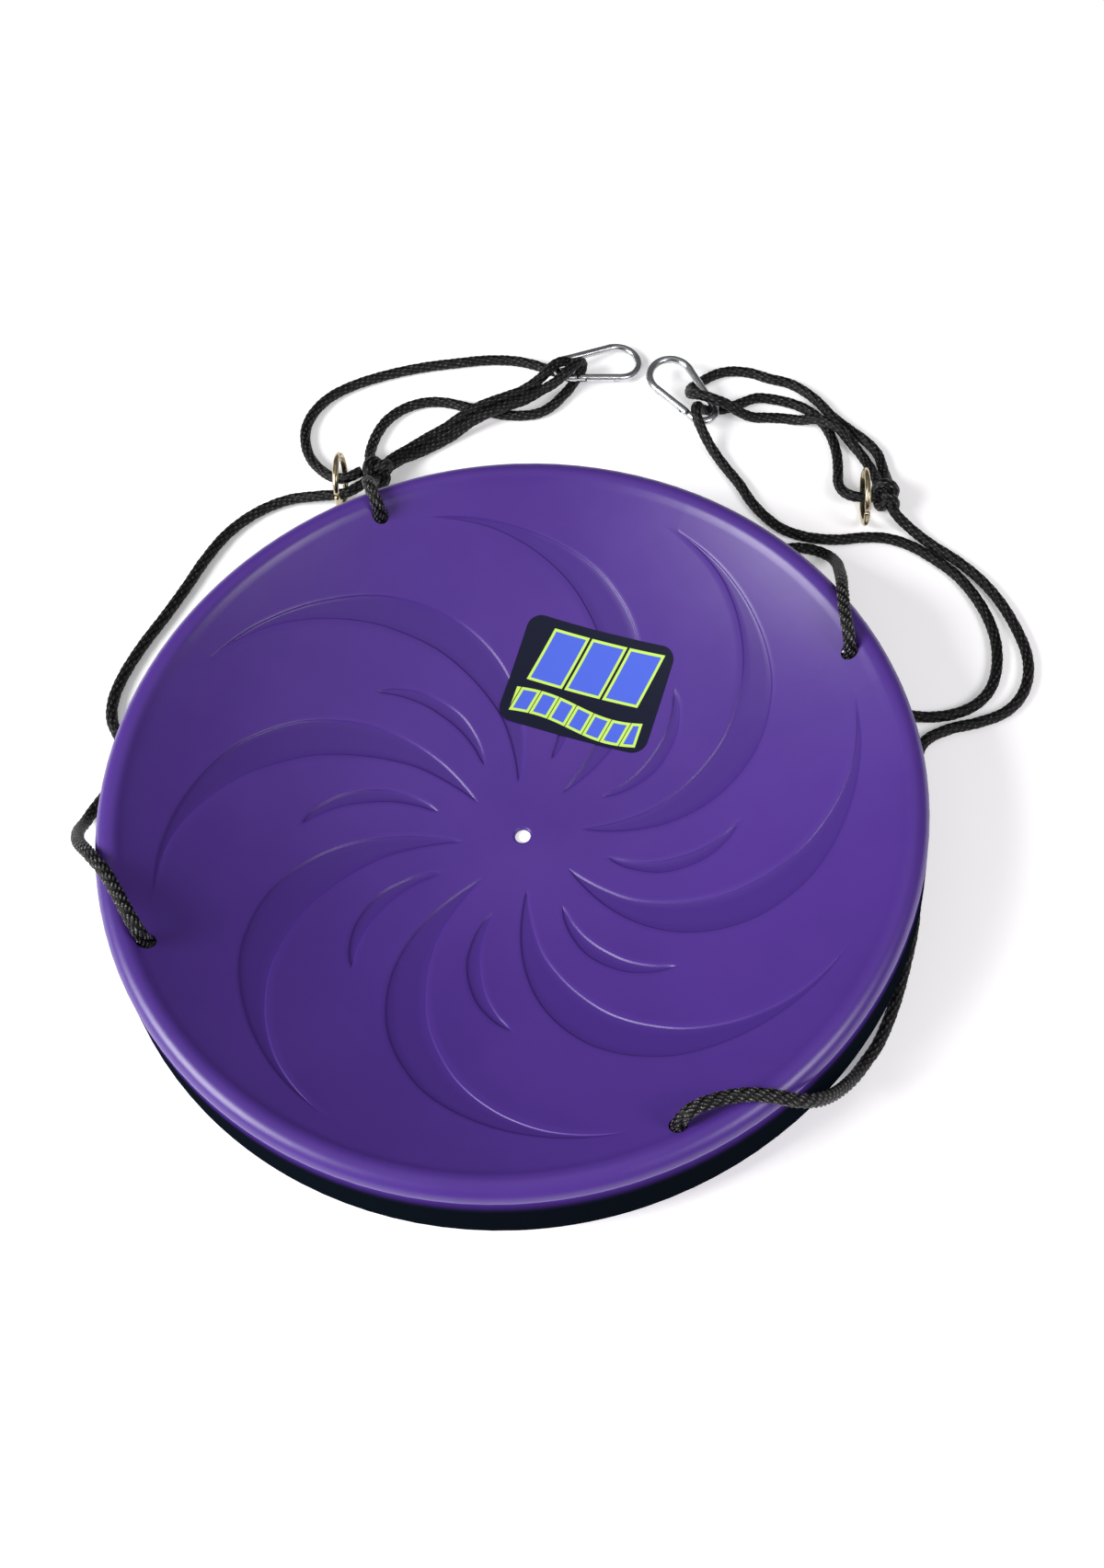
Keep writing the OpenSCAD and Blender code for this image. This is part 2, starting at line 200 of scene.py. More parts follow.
def side_frames(line):
    """Two unit vectors across the line at each point, turned as little as possible along it."""
    heading = np.gradient(line, axis=0)
    heading /= np.linalg.norm(heading, axis=1)[:, None]
    first = np.cross(heading[0], (0, 0, 1))
    if np.linalg.norm(first) < 0.1:
        first = np.cross(heading[0], (0, 1, 0))
    sides, last = [], first
    for h in heading:
        last = last - h * (last @ h)
        last = last / np.linalg.norm(last)
        sides.append(last)
    sides = np.array(sides)
    return sides, np.cross(heading, sides)


# ---- ropes ----

ROPE_D_MM = 9.5
# Points round a rope, and their spacing along a rope and along a knot
ROPE_SIDES = 40
ROPE_STEP_MM = 0.75
KNOT_STEP_MM = 0.9
# The braid: columns round the rope and the length of one stitch
COLUMNS = 8
STITCH_MM = 4.7
# How far from its hole a rope stays pulled open by its own weight, and how much thicker it is there
PULL_MM = 170
PULLED_R = 0.5
# How far the grooves lie below the crowns, and how fast the columns turn round the rope, loose and then added by pull
RELIEF_LOOSE, RELIEF_PULLED = 0.8, 0.8
TURN_LOOSE, TURN_PULLED = 0.07, 0.17

FRONT_LEFT_MM = [
    (-254, -118, 54), (-254, -118, 66), (-254, -118, 78), (-256, -116, 88), (-261, -109, 94),
    (-268, -98, 95), (-277, -84, 94), (-287, -70, 93), (-296, -60, 91), (-304, -51, 85), (-314, -40, 73),
    (-323, -28, 58), (-331, -14, 40), (-336, -2, 25), (-338, 10, 12), (-336, 24, 5), (-326, 44, 5),
    (-320, 66, 5), (-325, 88, 5), (-334, 106, 5), (-336, 126, 5), (-331, 150, 5), (-320, 178, 5),
    (-306, 206, 5), (-292, 236, 5), (-280, 264, 5), (-264, 292, 5), (-242, 314, 5), (-216, 327, 6),
    (-190, 328, 10), (-167, 328, 13), (-151, 336, 15), (-138, 349, 15), (-128, 366, 12), (-113, 384, 6),
    (-98, 397, 5), (-83, 407, 6), (-67, 417, 11), (-50, 425, 15), (-33, 433, 15), (-16, 440, 16),
    (-2, 448, 20), (7, 455, 24), (13, 462, 25), (19, 467, 24), (25, 470, 21), (28, 470, 15), (25, 471, 8),
    (18, 471, 5), (6, 475, 5), (-7, 481, 5), (-26, 486, 5), (-50, 487, 5), (-76, 484, 5), (-108, 479, 5),
    (-138, 471, 5), (-166, 460, 5), (-188, 446, 5), (-202, 428, 5), (-208, 408, 5), (-206, 388, 5),
    (-199, 371, 6), (-188, 356, 10), (-177, 345, 15), (-165, 341, 18), (-151, 348, 19),
]
BACK_LEFT_MM = [
    (-118, 254, 54), (-118, 254, 66), (-118, 254, 78), (-119, 256, 88), (-122, 262, 94), (-126, 271, 94),
    (-129, 281, 87), (-132, 291, 75), (-135, 304, 57), (-138, 318, 39), (-139, 331, 25), (-139, 342, 17),
    (-142, 355, 15), (-147, 369, 10), (-148, 384, 5), (-144, 401, 5), (-136, 417, 5), (-122, 430, 5),
    (-104, 437, 5), (-86, 437, 5), (-68, 432, 5), (-50, 427, 5), (-32, 422, 5), (-14, 421, 5), (0, 424, 5),
    (11, 432, 5), (19, 442, 5), (26, 452, 5), (31, 462, 5), (36, 469, 8), (38, 472, 15), (36, 469, 22),
    (31, 462, 25), (24, 453, 25), (14, 444, 22), (1, 438, 18), (-12, 430, 16), (-27, 424, 15),
    (-44, 416, 15), (-61, 408, 11), (-76, 398, 6), (-91, 388, 5), (-106, 378, 6), (-119, 367, 11),
    (-129, 355, 15),
]
FRONT_RIGHT_MM = [
    (118, -254, 54), (118, -254, 66), (118, -254, 78), (120, -253, 88), (126, -249, 94), (136, -244, 94),
    (149, -240, 93), (164, -238, 93), (180, -239, 93), (195, -241, 90), (209, -238, 79), (220, -230, 62),
    (229, -220, 44), (237, -210, 29), (245, -199, 16), (253, -187, 7), (263, -173, 5), (272, -155, 5),
    (280, -135, 5), (288, -110, 5), (296, -80, 5), (301, -45, 5), (303, -10, 5), (304, 25, 5), (308, 55, 5),
    (317, 79, 5), (338, 91, 5), (362, 97, 5), (384, 106, 5), (399, 121, 5), (407, 141, 5), (408, 163, 5),
    (402, 188, 5), (392, 213, 5), (378, 236, 5), (360, 256, 5), (339, 274, 5), (322, 290, 7), (309, 304, 12),
    (305, 319, 15), (306, 333, 13), (305, 346, 7), (303, 359, 5), (300, 373, 5), (291, 387, 5),
    (277, 401, 5), (262, 417, 5), (251, 433, 5), (239, 446, 5), (225, 456, 5), (207, 462, 5), (190, 469, 5),
    (173, 471, 5), (160, 468, 5), (150, 462, 5), (142, 456, 5), (136, 449, 7), (135, 441, 11),
    (136, 434, 17), (142, 428, 23), (149, 424, 25), (158, 420, 25), (168, 417, 22), (179, 415, 14),
    (191, 415, 7), (204, 416, 5), (218, 415, 5), (232, 411, 7), (245, 407, 13), (256, 402, 15),
    (267, 394, 14), (276, 385, 8), (284, 375, 5), (290, 363, 5), (294, 349, 9), (296, 335, 14),
    (295, 325, 16),
]
BACK_RIGHT_MM = [
    (254, 118, 54), (254, 118, 66), (254, 118, 78), (253, 121, 88), (252, 127, 94), (251, 136, 95),
    (250, 147, 95), (250, 158, 94), (250, 169, 91), (251, 182, 83), (252, 197, 70), (253, 214, 54),
    (254, 230, 38), (254, 245, 22), (252, 258, 10), (244, 267, 5), (232, 271, 5), (218, 271, 5),
    (205, 265, 5), (197, 253, 5), (197, 239, 5), (204, 225, 5), (216, 210, 5), (231, 190, 5), (247, 168, 5),
    (264, 145, 5), (280, 123, 5), (295, 109, 5), (315, 103, 5), (338, 104, 5), (359, 112, 5), (374, 127, 5),
    (382, 148, 5), (384, 173, 5), (380, 197, 5), (371, 220, 5), (358, 241, 5), (341, 258, 5), (321, 273, 5),
    (301, 281, 5), (281, 282, 5), (262, 280, 5), (244, 281, 5), (227, 285, 5), (211, 293, 5), (197, 307, 5),
    (186, 323, 5), (177, 341, 5), (164, 362, 5), (154, 379, 7), (147, 390, 14), (142, 399, 21),
    (140, 406, 24), (140, 412, 24), (142, 417, 20), (144, 421, 13), (148, 424, 7), (155, 425, 5),
    (167, 427, 5), (181, 433, 5), (196, 439, 5), (215, 436, 5), (233, 429, 5), (246, 419, 5), (255, 406, 5),
    (261, 390, 5), (264, 372, 5), (264, 355, 5), (263, 340, 8), (266, 327, 12), (274, 319, 15),
    (284, 317, 16), (293, 317, 16),
]


def braid(u, along, twist):
    """Height of a solid braid, from 0 in its grooves to 1 on a stitch."""
    column = COLUMNS * u - twist
    index, across = np.floor(column), column - np.floor(column)
    stitch = along / STITCH_MM + 0.5 * np.mod(index, 2) + 0.9 * (across - 0.5)
    run = stitch - np.floor(stitch)
    return (1 - (2 * across - 1) ** 2) * (1 - np.abs(2 * run - 1) ** 3)


def yarn_values(across, along, height):
    """What the rope's finish reads at each point: the distances round and along the rope, and the braid's height."""
    across, along = (np.broadcast_to(value, height.shape) for value in (across, along[:, None]))
    return np.stack([across, along, height], -1)


def rope_surface(line, along, radius, relief, rate):
    """Points of a braided tube round the line, with their yarn values."""
    sides, ups = side_frames(line)
    u = np.arange(ROPE_SIDES) / ROPE_SIDES
    twist = np.cumsum(np.concatenate([[0], np.diff(along) * rate[1:]]))
    height = braid(u[None, :], along[:, None], twist[:, None])
    r = radius + relief[:, None] * (height - 1.0)
    rings = rings_round(line, r, 2 * math.pi * u, sides, ups)
    yarn = yarn_values(u[None, :] * math.pi * 2 * radius, along, height)
    return rings.reshape(-1, 3), yarn.reshape(-1, 3)


def rope_finish():
    f = Finish("black_braid", Roughness=0.42, Specular_IOR_Level=0.22)
    yarn = f.attribute("yarn", out=1)
    height = f.split(yarn)[2]
    place = f.place()
    pull = f.attribute("pull")
    # Painted glints: grey spots on the braid's crowns, stronger where the rope is pulled near its hole.
    glint_spots = f.step(f.noise(800, place, 2.0), 0.50, 0.62)
    # Painted light on the braid: near-black grooves are painted shade, and lighter crowns are a painted highlight,
    # stronger where the rope is pulled near its hole.
    crown = f.step(height, 0.45, 0.95)
    crown_light = f.blend(pull, (0.006, 0.007, 0.008, 1), (0.024, 0.024, 0.023, 1))
    shade = f.blend(f.step(height, 0.35, 0.97), (0.0003, 0.0003, 0.0004, 1), crown_light)
    crown_glint = f.math("MULTIPLY", f.math("MULTIPLY", glint_spots, crown), f.math("MULTIPLY_ADD", pull, 0.6, 0.3))
    f.set(Base_Color=f.blend(crown_glint, shade, (0.30, 0.29, 0.27, 1)))
    stretched = f.node("Mapping", {"Vector": yarn, "Scale": (2.4, 0.5, 0.0), "Rotation": (0, 0, 0.6)})
    f.set(Normal=f.bump(f.noise(1.6, stretched, 4.0, 0.6), 0.5, 0.0006))
    return f


braid_black = rope_finish()


def make_rope(name, route):
    line, along = smooth_line(route, ROPE_STEP_MM)
    pull = np.exp(-((along / PULL_MM) ** 2))
    relief = RELIEF_LOOSE + RELIEF_PULLED * pull
    rate = TURN_LOOSE + TURN_PULLED * pull
    points, yarn = rope_surface(line, along, ROPE_D_MM / 2 + PULLED_R * pull[:, None], relief, rate)
    piece = add_mesh("braid_" + name, points * MM, tube_faces(len(line), ROPE_SIDES), braid_black)
    set_attribute(piece, "yarn", "FLOAT_VECTOR", yarn)
    # The pull attribute also sets how strong the painted crown highlight and glints are.
    set_attribute(piece, "pull", "FLOAT", np.repeat(pull, ROPE_SIDES))
    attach(piece, "seat")
    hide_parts("rope_" + name)


def knot_line(centre, turn, size):
    """Centreline of an overhand knot pulled tight, two times round with three crossings."""
    t = np.linspace(0, 2 * math.pi, 181)[:-1]
    ring, swing, rise = 7.2 * size, 3.9 * size, 4.5 * size
    r = ring + swing * np.cos(3 * t)
    line = np.stack([r * np.cos(2 * t), r * np.sin(2 * t), rise * np.sin(3 * t)], 1)
    return line @ np.array(turn.to_3x3()).T + np.array(centre)


def make_knot(name, node, centre, turn, size, rope_r):
    line = knot_line(centre, turn, size)
    line, along = resample(np.concatenate([line, line[:1]]), KNOT_STEP_MM)
    line, along = line[:-1], along[:-1]
    points, yarn = closed_braid(line, along, rope_r, 0.55)
    piece = add_mesh(name, points * MM, tube_faces(len(line), ROPE_SIDES, closed=True), braid_black)
    set_attribute(piece, "yarn", "FLOAT_VECTOR", yarn)
    # A middling pull, which also sets how strong the knot's painted crown highlight and glints are.
    set_attribute(piece, "pull", "FLOAT", np.full(len(points), 0.3))
    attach(piece, "seat")
    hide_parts(node)
    return piece


def closed_braid(line, along, radius, relief):
    """A braided tube round a closed line. Its rings are set from the line's own bends, so that it meets itself."""
    heading = np.roll(line, -1, axis=0) - np.roll(line, 1, axis=0)
    heading /= np.linalg.norm(heading, axis=1)[:, None]
    out = line - line.mean(0)
    sides = out - heading * np.sum(out * heading, axis=1)[:, None]
    sides /= np.linalg.norm(sides, axis=1)[:, None]
    ups = np.cross(heading, sides)
    total = along[-1] + (along[1] - along[0])
    stitches = round(total / STITCH_MM)
    u = np.arange(ROPE_SIDES) / ROPE_SIDES
    height = braid(u[None, :], (along * STITCH_MM * stitches / total)[:, None], (along * COLUMNS / total)[:, None])
    r = radius + relief * (height - 0.6)
    rings = rings_round(line, r, 2 * math.pi * u, sides, ups)
    yarn = yarn_values(u * 30, along, height)
    return rings.reshape(-1, 3), yarn.reshape(-1, 3)


def turn_xyz(*degrees):
    x, y, z = (Matrix.Rotation(math.radians(a), 4, axis) for a, axis in zip(degrees, "XYZ"))
    return z @ y @ x


adjuster_left = make_knot("knot_left", "adjuster_knot_left", (-138, 349, 16), turn_xyz(70, 0, 35), 1.0, 4.7)
adjuster_right = make_knot("knot_right", "adjuster_knot_right", (302, 318, 16), turn_xyz(75, 0, -50), 1.0, 4.7)

ROPES = {
    "front_left": (FRONT_LEFT_MM, 1.27, adjuster_left),
    "front_right": (FRONT_RIGHT_MM, 1.36, adjuster_right),
    "back_left": (BACK_LEFT_MM, 0.67, adjuster_left),
    "back_right": (BACK_RIGHT_MM, 1.23, adjuster_right),
}
for number, (corner, (route, rope_length, far_knot)) in enumerate(ROPES.items()):
    under_hole = (route[0][0], route[0][1], route[0][2] + 4)
    stopper = make_knot(
        "stopper_" + corner, "stopper_knot_" + corner, under_hole, turn_xyz(12, 8, 40 * number), 0.84, 4.8
    )
    make_rope(corner, route)

# ---- seat ----

RIM_R, SEAT_H, WALL = 305.0, 87.0, 4.0
FLAT_R, TRAY_ARC_R, BEAD_R = 25.0, 470.0, 11.0
SKIRT_Z, SKIRT_OUT = 25.0, 4.0
DRAIN_R = 6.0
BEAD_X, BEAD_Z = RIM_R - BEAD_R, SEAT_H - BEAD_R
HOLE_R, HOLE_CIRCLE_R, FIRST_HOLE = 6.5, 280.0, 25
# Below this height, and outside this distance, the shell is the skirt, which is painted dark as shade
SKIRT_TOP_Z, SKIRT_FROM_R = 77, 304.5
# The swirl repeats this often round the tray and lies this deep
SECTORS = 8
SECTOR_ANGLE = 360 / SECTORS
RELIEF = 1.1

# The moulded swirl: at each distance from the middle, the directions of the two edges of one long and one short leaf
LONG_R = [46, 52, 60, 68, 84, 100, 124, 148, 172, 196, 212, 228, 244, 256, 264, 269.6]
LONG_LOW = [6.4, 4.2, 2.6, 1.7, 1.1, 1.8, 4.2, 7.9, 12.9, 19.2, 24.7, 31.2, 40.4, 49.0, 56.2, 63.1]
LONG_HIGH = [6.4, 6.5, 6.7, 7.2, 8.6, 10.4, 14.8, 19.6, 24.7, 31.0, 35.5, 40.9, 47.2, 53.1, 58.6, 63.1]
SHORT_R = [68.8, 76, 84, 92, 100, 112, 124, 136, 148, 156, 164, 167.6]
SHORT_LOW = [27.9, 25.6, 24.6, 24.4, 24.8, 25.9, 28.2, 31.3, 35.0, 38.3, 42.3, 44.9]
SHORT_HIGH = [27.9, 28.3, 28.3, 28.8, 29.6, 31.4, 33.7, 36.1, 39.2, 41.5, 44.1, 44.9]


def tray_z(r, lift=0.0):
    r = np.maximum(r, FLAT_R)
    return WALL + TRAY_ARC_R - np.sqrt((TRAY_ARC_R - lift) ** 2 - (r - FLAT_R) ** 2)


def spline(x, xs, ys):
    """A smooth curve through the points, held level beyond its ends."""
    xs, ys = np.array(xs, float), np.array(ys, float)
    x = np.clip(x, xs[0], xs[-1])
    slope = np.gradient(ys, xs)
    i = np.clip(np.searchsorted(xs, x) - 1, 0, len(xs) - 2)
    h = xs[i + 1] - xs[i]
    t = (x - xs[i]) / h
    return (
        (2 * t**3 - 3 * t**2 + 1) * ys[i]
        + (t**3 - 2 * t**2 + t) * h * slope[i]
        + (3 * t**2 - 2 * t**3) * ys[i + 1]
        + (t**3 - t**2) * h * slope[i + 1]
    )


STEPS_MM = np.array([-0.5, -0.2, 0.1, 0.4, 0.7, 1.0])


def leaf_columns(r, low, high, inside):
    """Directions of the grid lines along one leaf, in degrees, and how deep each lies, from 0 to 1."""
    middle = (low + high) / 2
    half = np.maximum((high - low) / 2, np.degrees(0.2 / r))
    slope = np.abs(r * np.gradient(np.radians(middle), r))
    lean = np.sqrt(1 + np.minimum(slope, 4.5) ** 2)
    width = np.radians(2 * half) * r / lean
    squeeze = np.minimum(1, 0.42 * width)
    offset = np.degrees(STEPS_MM[None, :] * (squeeze * lean / r)[:, None])
    left = (middle - half)[:, None] + offset
    right = (middle + half)[:, None] - offset[:, ::-1]
    t = np.linspace(0, 1, inside + 2)[1:-1]
    between = left[:, -1:] * (1 - t) + right[:, :1] * t
    fall = (STEPS_MM + 0.5) / 1.5
    fall = fall**2 * (3 - 2 * fall)
    open_width = np.radians(high - low) * r / lean
    tip = np.clip(open_width / 2.2, 0, 1)[:, None]
    tip = tip * tip * (3 - 2 * tip)
    deep = np.concatenate([fall, np.ones(inside), fall[::-1]])[None, :] * tip
    return np.concatenate([left, between, right], 1), deep


def between_columns(a, b, cells):
    t = np.arange(1, cells) / cells
    return a[:, -1:] * (1 - t) + b[:, :1] * t


def tray_grid(r):
    """Directions (radians) and relief depth of every grid line at each distance r."""
    low, high = spline(r, LONG_R, LONG_LOW), spline(r, LONG_R, LONG_HIGH)
    s_low, s_high = spline(r, SHORT_R, SHORT_LOW), spline(r, SHORT_R, SHORT_HIGH)
    share = np.interp(r, [SHORT_R[0], SHORT_R[-1]], [0.524, 0.64])
    flow = high + share * (low + SECTOR_ANGLE - high)
    outside = (r < SHORT_R[0]) | (r > SHORT_R[-1])
    s_low, s_high = np.where(outside, flow, s_low), np.where(outside, flow, s_high)
    long_leaf, long_deep = leaf_columns(r, low, high, 3)
    short_leaf, short_deep = leaf_columns(r, s_low, s_high, 1)
    first_gap = between_columns(long_leaf, short_leaf, 9)
    last_gap = between_columns(short_leaf, long_leaf + SECTOR_ANGLE, 9)
    angles = np.concatenate([long_leaf, first_gap, short_leaf, last_gap], 1)
    deep = np.concatenate([long_deep, 0 * first_gap, short_deep, 0 * last_gap], 1)
    angles = np.concatenate([angles + SECTOR_ANGLE * k for k in range(SECTORS)], 1)
    return np.radians(angles), np.tile(deep, (1, SECTORS))


def arc_points(centre, radius, first, last, count):
    a = np.radians(np.linspace(first, last, count))
    return np.stack([centre[0] + radius * np.cos(a), centre[1] + radius * np.sin(a)], 1)


def seat_sections():
    """The seat's section as (r, z) from the drain hole over the tray and rim, down the skirt and back underneath."""
    drain = [(DRAIN_R, 1.2), (DRAIN_R, 2.6), (DRAIN_R + 0.25, 3.2), (DRAIN_R + 0.8, 3.7), (DRAIN_R + 1.5, 4.0)]
    tray_r = np.concatenate([np.arange(8.5, 283.5, 1.6), [284.2]])
    bead = arc_points((BEAD_X, BEAD_Z), BEAD_R, 134, 6, 22)
    skirt_top, foot = np.array([RIM_R, BEAD_Z]), np.array([RIM_R + SKIRT_OUT, SKIRT_Z])
    skirt = [skirt_top + (foot - skirt_top) * t for t in np.linspace(0, 0.965, 14)]
    lip = [(foot[0] - 0.05, SKIRT_Z + 0.7), (foot[0] - 0.7, SKIRT_Z), (foot[0] - WALL + 0.7, SKIRT_Z)]
    inner_foot = np.array([foot[0] - WALL, SKIRT_Z + 0.7])
    inner_top = np.array([BEAD_X + BEAD_R - WALL, BEAD_Z])
    inner = [inner_foot + (inner_top - inner_foot) * t for t in np.linspace(0, 1, 12)]
    under_bead = arc_points((BEAD_X, BEAD_Z), BEAD_R - WALL, 12, 140, 12)
    under_r = np.concatenate([np.linspace(BEAD_X - 7, FLAT_R, 60), [18, 12, DRAIN_R + 1.0]])
    under = [(r, tray_z(r, -WALL)) for r in under_r[:60]] + [(r, 0.0) for r in under_r[60:]]
    return drain, tray_r, np.concatenate([bead, skirt, lip, inner, under_bead, under, [(DRAIN_R, 0.7)]])


def seat_finish(name, shine):
    f = Finish(name, Specular_IOR_Level=shine)
    place = f.place()
    recess_shade = f.attribute("recess_shade")
    cloudy = f.noise(9, place, 4.0, 0.55)
    plain = f.blend(f.step(cloudy, 0.3, 0.7), (0.062, 0.023, 0.212, 1), (0.070, 0.027, 0.232, 1))
    # Painted shade: the skirt attribute turns the colour near-black and faintly blue below the bead.
    skirt = f.attribute("skirt")
    # Painted shade: the swirl's moulded recesses get a darker purple.
    tray = f.blend(recess_shade, plain, (0.054, 0.020, 0.194, 1))
    f.set(Base_Color=f.blend(skirt, tray, (0.0035, 0.0055, 0.009, 1)))
    fine = f.noise(1400, place, 2.0)
    rough = f.math("MULTIPLY_ADD", f.noise(40, place, 3.0), 0.08, 0.30)
    f.set(Roughness=rough)
    f.set(Normal=f.bump(fine, 0.12, 0.0003))
    return f


def make_seat():
    drain, tray_r, rest = seat_sections()
    section_r = np.concatenate([[r for r, z in drain], tray_r, rest[:, 0]])
    grid_r = np.concatenate([np.linspace(6, 8, 3), tray_r])
    angles, deep = tray_grid(grid_r)
    columns = angles.shape[1]

    def directions(r):
        return np.stack([np.interp(r, grid_r, angles[:, j]) for j in range(columns)], 1)

    all_angles = directions(np.minimum(section_r, grid_r[-1]))
    z = np.concatenate([[z for r, z in drain], tray_z(tray_r), rest[:, 1]])
    height = np.repeat(z[:, None], columns, 1)
    # Where the swirl's recesses lie, for the painted shade in them.
    recess_shade = np.zeros_like(height)
    rows = slice(len(drain), len(drain) + len(tray_r))
    recess_shade[rows] = deep[3:]
    height[rows] -= RELIEF * deep[3:]
    points = np.stack(
        [section_r[:, None] * np.cos(all_angles), section_r[:, None] * np.sin(all_angles), height], -1
    )
    faces = tube_faces(len(section_r), columns, closed=True)
    piece = add_mesh("seat_shell", points.reshape(-1, 3) * MM, faces, seat_finish("purple_plastic", 0.45))
    # The skirt faces get a copy of the plastic with no specular reflection, so their painted shade stays dark.
    piece.data.materials.append(seat_finish("purple_plastic_skirt_shaded", 0.0).material)
    for face in piece.data.polygons:
        if face.center.z < SKIRT_TOP_Z * MM and math.hypot(face.center.x, face.center.y) > SKIRT_FROM_R * MM:
            face.material_index = 1
    set_attribute(piece, "recess_shade", "FLOAT", recess_shade)
    # Painted shade: the skirt darkens from just below the bead down to its foot.
    shade = np.clip((section_r - 300) / 4, 0, 1) * np.clip((SKIRT_TOP_Z - z) / 14, 0, 1)
    set_attribute(piece, "skirt", "FLOAT", np.repeat(shade[:, None], columns, 1))
    cut_rope_holes(piece)
    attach(piece, "seat")
    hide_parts("seat_disc", "seat_rim_front", "seat_rim_back", "seat_skirt")


def cut_rope_holes(piece):
    cutters = []
    for k in range(4):
        angle = math.radians(FIRST_HOLE + 90 * k)
        bpy.ops.mesh.primitive_cylinder_add(
            vertices=48,
            radius=HOLE_R * MM,
            depth=90 * MM,
            location=(HOLE_CIRCLE_R * MM * math.cos(angle), HOLE_CIRCLE_R * MM * math.sin(angle), 75 * MM),
        )
        cutters.append(bpy.context.object)
    for cutter in cutters:
        cut = piece.modifiers.new("hole", "BOOLEAN")
        cut.operation = "DIFFERENCE"
        cut.solver = "EXACT"
        cut.object = cutter
        bpy.context.view_layer.objects.active = piece
        bpy.ops.object.modifier_apply(modifier=cut.name)
        bpy.data.objects.remove(cutter)
    bpy.context.view_layer.objects.active = piece
    piece.select_set(True)
    bpy.ops.object.shade_smooth_by_angle(angle=math.radians(50))
    piece.select_set(False)


make_seat()

# ---- label ----


def label_finish():
    f = Finish("label_print", Roughness=0.5, Specular_IOR_Level=0.15)
    local = f.node(
        "Mapping",
        {"Vector": f.place(), "Location": (-0.048, -0.127, 0)},
    )
    turned = f.node("VectorRotate", {"Vector": local, "Axis": (0, 0, 1), "Angle": math.radians(18)})
    across, up, _ = f.split(turned)
    x, y = f.math("MULTIPLY", across, 1000.0), f.math("MULTIPLY", up, 1000.0)
    slant = f.math("MULTIPLY_ADD", y, -0.2, x)

    def beyond(value, limit):
        """How far the value is from 0 past the limit, below 0 inside it."""
        return f.math("SUBTRACT", f.math("ABSOLUTE", value), limit)

    def row_of_blocks(start, half_pitch, half_width, height, half_height, end_at, half_length):
        """Distance outside a row of blocks that lean with the slant."""
        width = f.math("SUBTRACT", f.math("PINGPONG", f.math("ADD", slant, start), half_pitch), half_width)
        block = f.math("MAXIMUM", width, beyond(height, half_height))
        return f.math("MAXIMUM", block, beyond(end_at, half_length))

    large = row_of_blocks(320.0, 16.0, 13.2, f.math("ADD", y, -15.0), 21.0, slant, 46.0)
    wave = f.math("MULTIPLY_ADD", f.math("SINE", f.math("MULTIPLY", x, 0.05)), 4.0, f.math("ADD", y, 28.0))
    small = row_of_blocks(327.0, 8.0, 5.9, wave, 8.5, x, 52.0)
    shape = f.math("MINIMUM", large, small)
    lime = f.step(shape, 1.9, 1.6)
    blue = f.step(shape, -0.3, -0.6)
    ink = f.blend(lime, (0.006, 0.008, 0.022, 1), (0.50, 0.74, 0.12, 1))
    f.set(Base_Color=f.blend(blue, ink, (0.07, 0.125, 0.62, 1)))
    return f


def dress(node, finish):
    """Gives a carried-over CAD node its finish."""
    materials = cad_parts[node].data.materials
    if not materials:
        materials.append(finish.material)
    for k in range(len(materials)):
        materials[k] = finish.material


dress("label", label_finish())

# ---- metal parts ----

RING_R, RING_WIRE_R = 22.5, 2.5
RING_STEPS, RING_SIDES = 181, 24


def metal_finish(name, low, high, rough, scratch):
    f = Finish(name, Metallic=1.0)
    place = f.place()
    cloud = f.noise(160, place, 4.0, 0.6)
    f.set(Base_Color=f.blend(f.step(cloud, 0.35, 0.65), low, high))
    f.set(Roughness=f.math("MULTIPLY_ADD", f.noise(300, place, 2.0), 0.14, rough))
    f.set(Normal=f.bump(f.noise(500, place, 2.0, 0.5), scratch, 0.00002))
    return f


zinc = metal_finish("bright_zinc", (0.50, 0.51, 0.53, 1), (0.62, 0.63, 0.65, 1), 0.16, 0.10)
nickel = metal_finish("warm_nickel", (0.44, 0.36, 0.22, 1), (0.66, 0.57, 0.38, 1), 0.14, 0.08)
steel = metal_finish("spring_steel", (0.30, 0.30, 0.31, 1), (0.42, 0.42, 0.43, 1), 0.22, 0.10)

for side in ("left", "right"):
    for part in ("hook_body", "hook_gate", "gate_rivet", "gate_plunger"):
        dress(f"{part}_{side}", zinc)
    dress("gate_spring_" + side, steel)


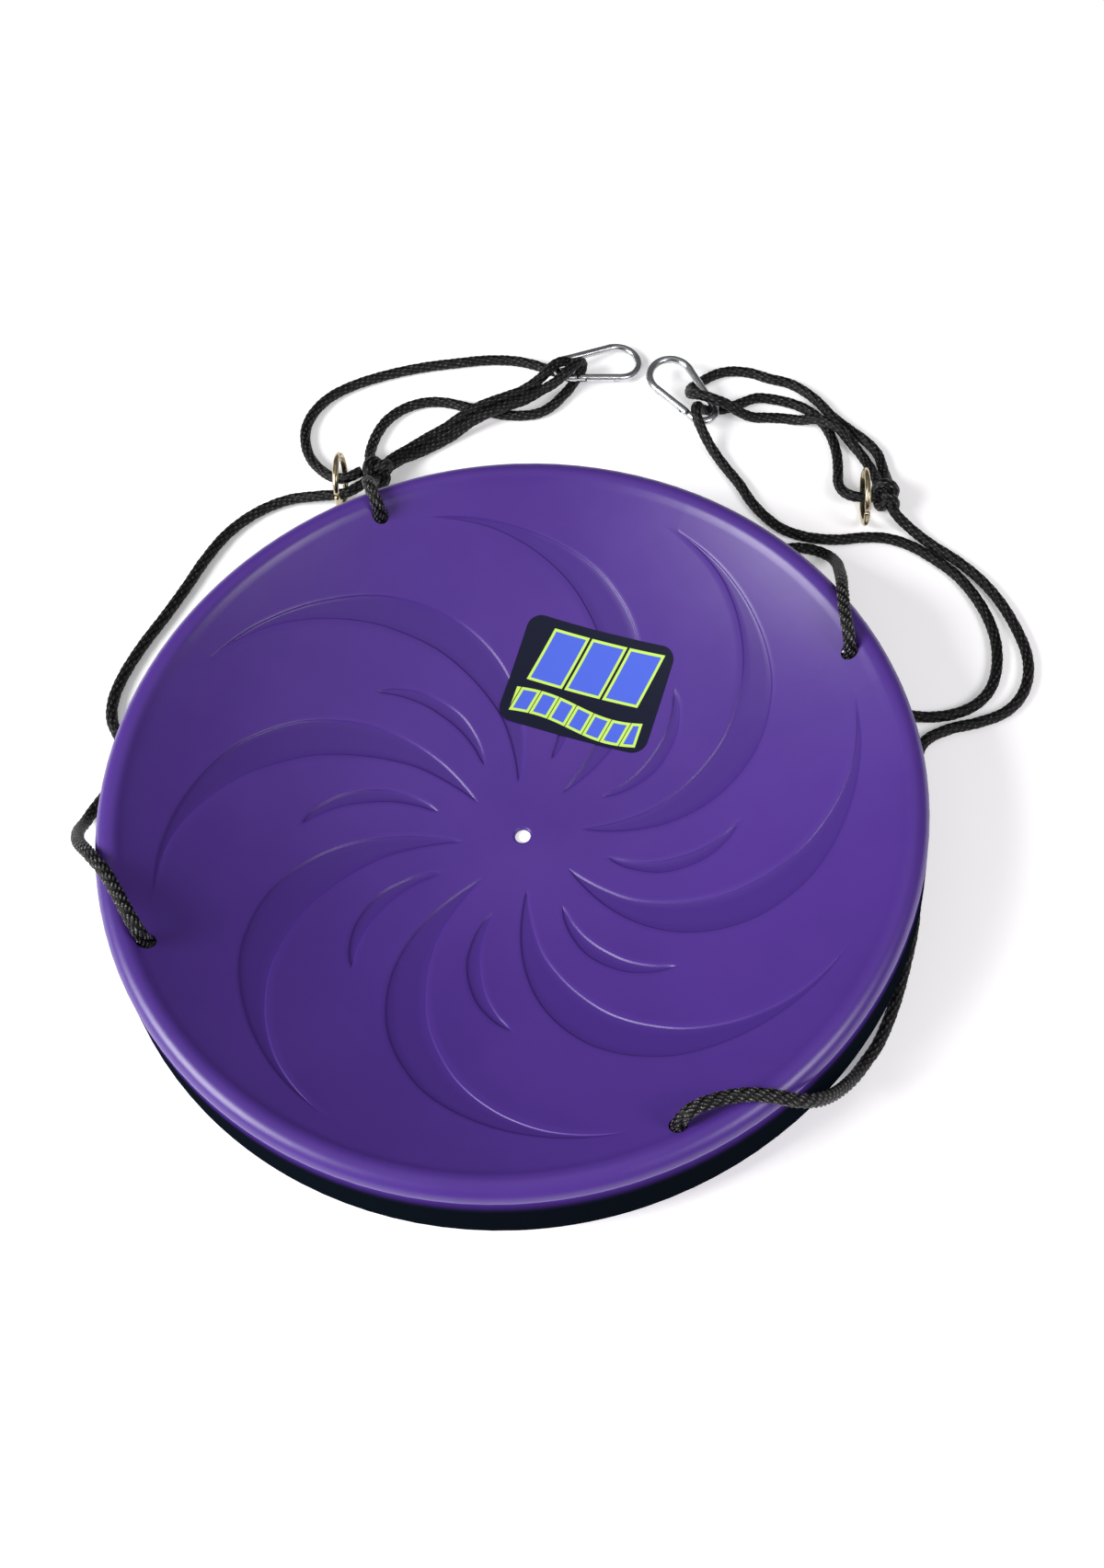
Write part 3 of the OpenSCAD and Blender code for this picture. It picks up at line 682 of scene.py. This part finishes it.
def make_ring(side, centre):
    """A bent wire ring with its butt joint towards the seat, the wire's ends rounded off."""
    gap, middle = math.radians(1.6), math.radians(20)
    turn = np.linspace(gap, 2 * math.pi - gap, RING_STEPS)
    line = np.stack([0 * turn, -RING_R * np.cos(turn + middle), RING_R * np.sin(turn + middle)], 1)
    around = np.linspace(0, 2 * math.pi, RING_SIDES + 1)[:-1]
    ends = 4
    shrink = np.ones(RING_STEPS)
    shrink[:ends] = np.sqrt(1 - (1 - (np.arange(ends) + 0.6) / ends) ** 2)
    shrink[-ends:] = shrink[:ends][::-1]
    rings = rings_round(line, RING_WIRE_R * shrink[:, None], around, line / RING_R, np.array([[1.0, 0, 0]]))
    points = rings.reshape(-1, 3) + np.array(centre)
    piece = add_mesh("wire_ring_" + side, points * MM, tube_faces(RING_STEPS, RING_SIDES), nickel)
    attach(piece, "ring_" + side)
    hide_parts("adjuster_ring_" + side)


make_ring("left", (-167, 332, 25.3))
make_ring("right", (283, 310, 25.3))

# ---- floor and light ----


def make_floor():
    f = Finish("pale_floor", Roughness=0.6, Specular_IOR_Level=0.2)
    # The floor glows faintly: painted light that keeps the far floor pale and adds soft fill from below.
    f.set(Emission_Color=(1, 1, 1, 1), Emission_Strength=0.3)
    f.set(Base_Color=f.blend(f.noise(3, f.place(), 2.0), (0.93, 0.93, 0.93, 1), (0.95, 0.95, 0.95, 1)))
    half = 12.0
    points = [(-half, -half, 0), (half, -half, 0), (half, half, 0), (-half, half, 0)]
    floor = add_mesh("floor", points, [(0, 1, 2, 3)], f, smooth=False)


def area_light(name, at, aim, size, power, colour=(1, 1, 1)):
    data = bpy.data.lights.new(name, "AREA")
    data.shape = "RECTANGLE"
    data.size, data.size_y = size
    data.energy = power
    data.color = colour
    light = bpy.data.objects.new(name, data)
    bpy.context.scene.collection.objects.link(light)
    light.location = at
    light.rotation_euler = (Vector(aim) - Vector(at)).to_track_quat("-Z", "Y").to_euler()


make_floor()
area_light("top", (-0.1, 0.6, 2.6), (-0.1, 0.6, 0), (2.4, 2.0), 5)
area_light("key", (-2.8, -0.95, 2.15), (0, 0.1, 0), (1.8, 1.8), 180, (1, 0.99, 1))
area_light("side", (1.35, -0.75, 1.45), (0.1, 0, 0), (0.8, 0.8), 20, (1, 0.96, 1))


def make_world(light, seen):
    """A white surrounding that lights with one strength and is seen with another, as pale as the far floor."""
    world = bpy.data.worlds.new("world")
    bpy.context.scene.world = world
    world.use_nodes = True
    tree = world.node_tree
    backdrop = tree.nodes["Background"]
    backdrop.inputs["Color"].default_value = (1, 1, 1, 1)
    strength = tree.nodes.new("ShaderNodeMapRange")
    strength.inputs["To Min"].default_value, strength.inputs["To Max"].default_value = light, seen
    tree.links.new(tree.nodes.new("ShaderNodeLightPath").outputs["Is Camera Ray"], strength.inputs["Value"])
    tree.links.new(strength.outputs["Result"], backdrop.inputs["Strength"])


make_world(0.14, 0.48)
bpy.context.scene.view_settings.view_transform = "Standard"
